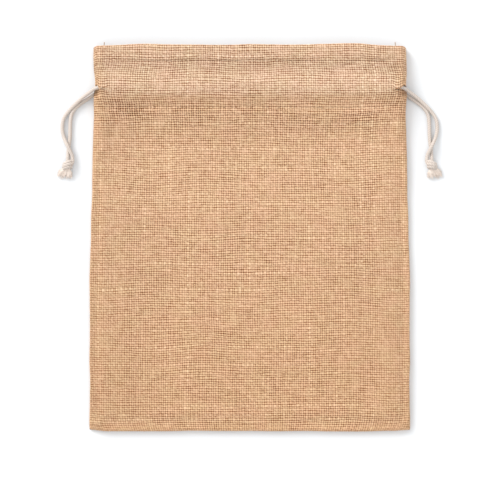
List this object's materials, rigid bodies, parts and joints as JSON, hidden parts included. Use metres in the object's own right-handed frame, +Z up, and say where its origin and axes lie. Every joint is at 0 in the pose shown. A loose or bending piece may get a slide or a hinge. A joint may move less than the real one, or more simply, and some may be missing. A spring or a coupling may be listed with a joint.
{
  "type": "drawstring gift pouch",
  "caption": "Flat jute gift pouch with a cased hem round its mouth and two cotton drawstrings, one knotted at each side.",
  "frame": {"origin": "middle of the pouch's outline on the surface it lies on, without the drawstrings", "axes": "+X across the pouch to its right side, +Y along it to the mouth, +Z up through the front cloth"},
  "size_m": [0.3068, 0.303, 0.0137],
  "materials": {
    "jute": "plain-woven natural jute, dry and matt",
    "jute_inside": "plain-woven natural jute, turned-in layers",
    "cotton_cord": "unbleached twisted cotton, soft and matt",
    "thread": "tan sewing thread"
  },
  "bodies": {
    "bag": {"front_panel": "jute", "back_panel": "jute", "front_hem": "jute_inside", "back_hem": "jute_inside", "bottom_seam_allowance": "jute_inside", "left_seam_allowance": "jute_inside", "right_seam_allowance": "jute_inside", "left_header_allowance": "jute_inside", "right_header_allowance": "jute_inside", "bottom_stitching": "thread", "left_side_stitching": "thread", "right_side_stitching": "thread", "front_lower_stitching": "thread", "front_upper_stitching": "thread", "back_lower_stitching": "thread", "back_upper_stitching": "thread", "left_lower_tack": "thread", "left_upper_tack": "thread", "right_lower_tack": "thread", "right_upper_tack": "thread"},
    "left_drawstring": {"left_cord_loop": "cotton_cord", "left_front_tail": "cotton_cord", "left_back_tail": "cotton_cord", "left_knot": "cotton_cord", "left_front_end": "cotton_cord", "left_back_end": "cotton_cord"},
    "right_drawstring": {"right_cord_loop": "cotton_cord", "right_front_tail": "cotton_cord", "right_back_tail": "cotton_cord", "right_knot": "cotton_cord", "right_front_end": "cotton_cord", "right_back_end": "cotton_cord"}
  },
  "joints": [
    {"name": "left_drawstring_pull", "type": "slide", "parent": "bag", "child": "left_drawstring", "axis": [-1, 0, 0], "range_m": [0, 0.075], "deforming": ["front_hem", "back_hem"]},
    {"name": "right_drawstring_pull", "type": "slide", "parent": "bag", "child": "right_drawstring", "axis": [1, 0, 0], "range_m": [0, 0.075], "deforming": ["front_hem", "back_hem"]}
  ]
}
